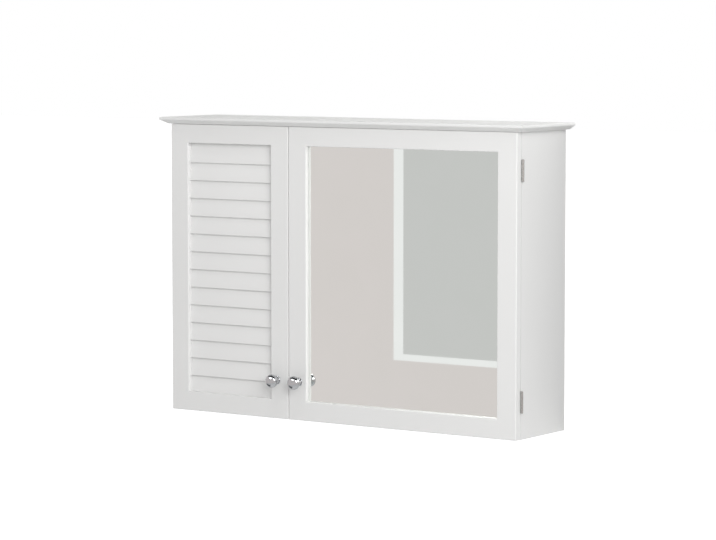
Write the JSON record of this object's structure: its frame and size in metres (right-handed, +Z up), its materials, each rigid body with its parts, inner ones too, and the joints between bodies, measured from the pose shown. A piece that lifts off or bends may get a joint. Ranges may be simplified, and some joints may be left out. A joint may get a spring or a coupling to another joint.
{
  "type": "bathroom mirror cabinet",
  "caption": "Wall-hung white bathroom cabinet with a narrow louvred door on the left, a wide mirror door on the right, a moulded top board, chrome knobs and side butt hinges.",
  "frame": {"origin": "middle of the line between the two wall-screw holes, on the plane of the wall (the back face)", "axes": "+X to the right seen from the front, +Y into the wall (the doors face -Y), +Z up"},
  "size_m": [0.8, 0.193, 0.554],
  "materials": {
    "painted_wood": "satin white paint",
    "hardboard": "bare brown hardboard",
    "beech": "bare beech",
    "mirror_glass": "silvered float glass",
    "chrome_plate": "polished",
    "zinc_plated_steel": "bright zinc plate",
    "nickel_plated_steel": "satin nickel plate",
    "cast_zinc": "as cast",
    "ferrite_magnet": "ground",
    "white_plastic": "moulded"
  },
  "bodies": {
    "carcass": {"top_board": "painted_wood", "side_panel_left": "painted_wood", "side_panel_right": "painted_wood", "bottom_panel": "painted_wood", "centre_partition": "painted_wood", "back_panel": "hardboard", "hanging_rail_left": "painted_wood", "hanging_rail_right": "painted_wood", "shelf_left_upper": "painted_wood", "shelf_left_lower": "painted_wood", "shelf_right_upper": "painted_wood", "shelf_right_lower": "painted_wood", "shelf_pins": "zinc_plated_steel", "cam_locks": "cast_zinc", "cam_bolts": "zinc_plated_steel", "dowels": "beech", "side_leaf_left_upper": "nickel_plated_steel", "side_leaf_left_lower": "nickel_plated_steel", "side_leaf_right_upper": "nickel_plated_steel", "side_leaf_right_lower": "nickel_plated_steel", "hinge_pins": "nickel_plated_steel", "carcass_screws": "zinc_plated_steel", "magnetic_catches": "white_plastic", "catch_magnets": "ferrite_magnet"},
    "louvre_door": {"louvre_stile_hinge": "painted_wood", "louvre_stile_knob": "painted_wood", "louvre_rail_top": "painted_wood", "louvre_rail_bottom": "painted_wood", "slat_01": "painted_wood", "slat_02": "painted_wood", "slat_03": "painted_wood", "slat_04": "painted_wood", "slat_05": "painted_wood", "slat_06": "painted_wood", "slat_07": "painted_wood", "slat_08": "painted_wood", "slat_09": "painted_wood", "slat_10": "painted_wood", "slat_11": "painted_wood", "slat_12": "painted_wood", "slat_13": "painted_wood", "slat_14": "painted_wood", "louvre_knob": "chrome_plate", "louvre_strike_plate": "zinc_plated_steel", "louvre_leaf_upper": "nickel_plated_steel", "louvre_leaf_lower": "nickel_plated_steel", "louvre_screws": "zinc_plated_steel"},
    "mirror_door": {"mirror_stile_knob": "painted_wood", "mirror_stile_hinge": "painted_wood", "mirror_rail_top": "painted_wood", "mirror_rail_bottom": "painted_wood", "mirror_glass": "mirror_glass", "mirror_backing": "hardboard", "backing_clips": "zinc_plated_steel", "mirror_knob": "chrome_plate", "mirror_strike_plate": "zinc_plated_steel", "mirror_leaf_upper": "nickel_plated_steel", "mirror_leaf_lower": "nickel_plated_steel", "mirror_screws": "zinc_plated_steel"}
  },
  "joints": [
    {"name": "louvre_door_hinge", "type": "hinge", "parent": "carcass", "child": "louvre_door", "pos_m": [-0.3838, -0.1525, -0.2459], "axis": [0, 0, -1], "range_deg": [0, 190]},
    {"name": "mirror_door_hinge", "type": "hinge", "parent": "carcass", "child": "mirror_door", "pos_m": [0.3838, -0.1525, -0.2459], "axis": [0, 0, 1], "range_deg": [0, 190]}
  ]
}
